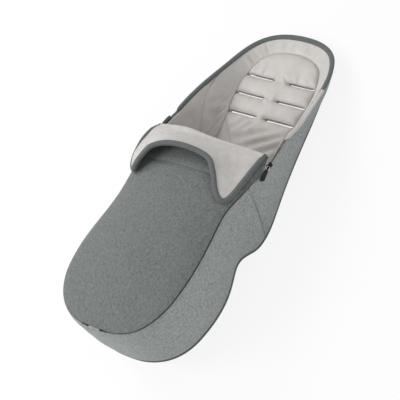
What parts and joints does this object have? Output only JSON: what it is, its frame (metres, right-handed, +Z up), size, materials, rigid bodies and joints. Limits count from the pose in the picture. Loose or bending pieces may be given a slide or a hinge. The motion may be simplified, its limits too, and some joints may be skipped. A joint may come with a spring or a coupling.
{
  "type": "stroller footmuff",
  "caption": "Padded stroller footmuff: long quilted bag with a zip-off front cover, turned-down fleece cuff, bound rim and harness slots in its backrest.",
  "frame": {"origin": "centre of the bounding box in plan, at the height of the surface that the back lies on", "axes": "+X to the right when looked at from the cover side with the head end away, +Y from the foot bag to the head end, +Z up, out of the cover"},
  "size_m": [0.3646, 0.9296, 0.262],
  "materials": {
    "outer_felt": "heather mid-grey melange cloth",
    "cover_felt": "heather mid-grey melange cloth, a little darker",
    "trim_grey": "plain woven binding tape",
    "lining": "smooth light warm-grey lining with a soft sheen",
    "fleece": "light short-pile fleece",
    "wadding": "white fibre wadding",
    "zip_black": "black nylon",
    "pull_black": "moulded black",
    "link_metal": "bright wire"
  },
  "bodies": {
    "shell": {"leg_gusset": "outer_felt", "side_panel_right": "outer_felt", "side_panel_left": "outer_felt", "leg_back_panel": "outer_felt", "backrest_back_panel": "outer_felt", "back_edge_piping": "trim_grey", "gusset_wadding": "wadding", "side_wadding_right": "wadding", "side_wadding_left": "wadding", "leg_back_wadding": "wadding", "backrest_wadding": "wadding", "foot_bag_wall_lining": "fleece", "foot_bag_back_lining": "fleece", "side_lining_right": "lining", "side_lining_left": "lining", "lining_surround": "lining", "backrest_centre_panel": "lining", "rim_binding": "trim_grey", "toe_bridge": "trim_grey", "crotch_slot_facing": "lining", "zip_shell_half_right": "zip_black", "zip_stop_right": "zip_black", "slot_facing_low_right": "lining", "slot_facing_middle_right": "lining", "slot_facing_top_right": "lining", "zip_shell_half_left": "zip_black", "zip_stop_left": "zip_black", "slot_facing_low_left": "lining", "slot_facing_middle_left": "lining", "slot_facing_top_left": "lining"},
    "cover": {"cover_front_panel": "cover_felt", "cover_yoke": "cover_felt", "cover_wadding": "wadding", "cover_lining": "fleece", "zip_cover_half_right": "zip_black", "zip_cover_half_left": "zip_black"},
    "cuff": {"cuff_under_panel": "cover_felt", "cuff_wadding": "wadding", "cuff_fleece": "fleece", "cuff_binding": "trim_grey"},
    "slider_right": {"zip_slider_right": "zip_black"},
    "pull_right": {"pull_link_right": "link_metal", "pull_tab_right": "pull_black"},
    "slider_left": {"zip_slider_left": "zip_black"},
    "pull_left": {"pull_link_left": "link_metal", "pull_tab_left": "pull_black"}
  },
  "joints": [
    {"name": "cover_hinge", "type": "hinge", "parent": "shell", "child": "cover", "pos_m": [0, -0.45778, 0.248], "axis": [1, 0, 0], "range_deg": [0, 150]},
    {"name": "cuff_hinge", "type": "hinge", "parent": "cover", "child": "cuff", "pos_m": [0, 0.07849, 0.17464], "axis": [-1, 0, 0], "range_deg": [0, 165]},
    {"name": "slider_right_slide", "type": "slide", "parent": "shell", "child": "slider_right", "axis": [-0.1627, -0.9568, 0.241], "range_m": [0, 0.11]},
    {"name": "pull_right_hinge", "type": "hinge", "parent": "slider_right", "child": "pull_right", "pos_m": [0.17813, 0.05636, 0.16856], "axis": [-0.6764, -0.005, 0.7365], "range_deg": [0, 140]},
    {"name": "slider_left_slide", "type": "slide", "parent": "shell", "child": "slider_left", "axis": [0.1627, -0.9568, 0.241], "range_m": [0, 0.11]},
    {"name": "pull_left_hinge", "type": "hinge", "parent": "slider_left", "child": "pull_left", "pos_m": [-0.17813, 0.05636, 0.16856], "axis": [-0.6764, 0.005, -0.7365], "range_deg": [0, 140]}
  ]
}
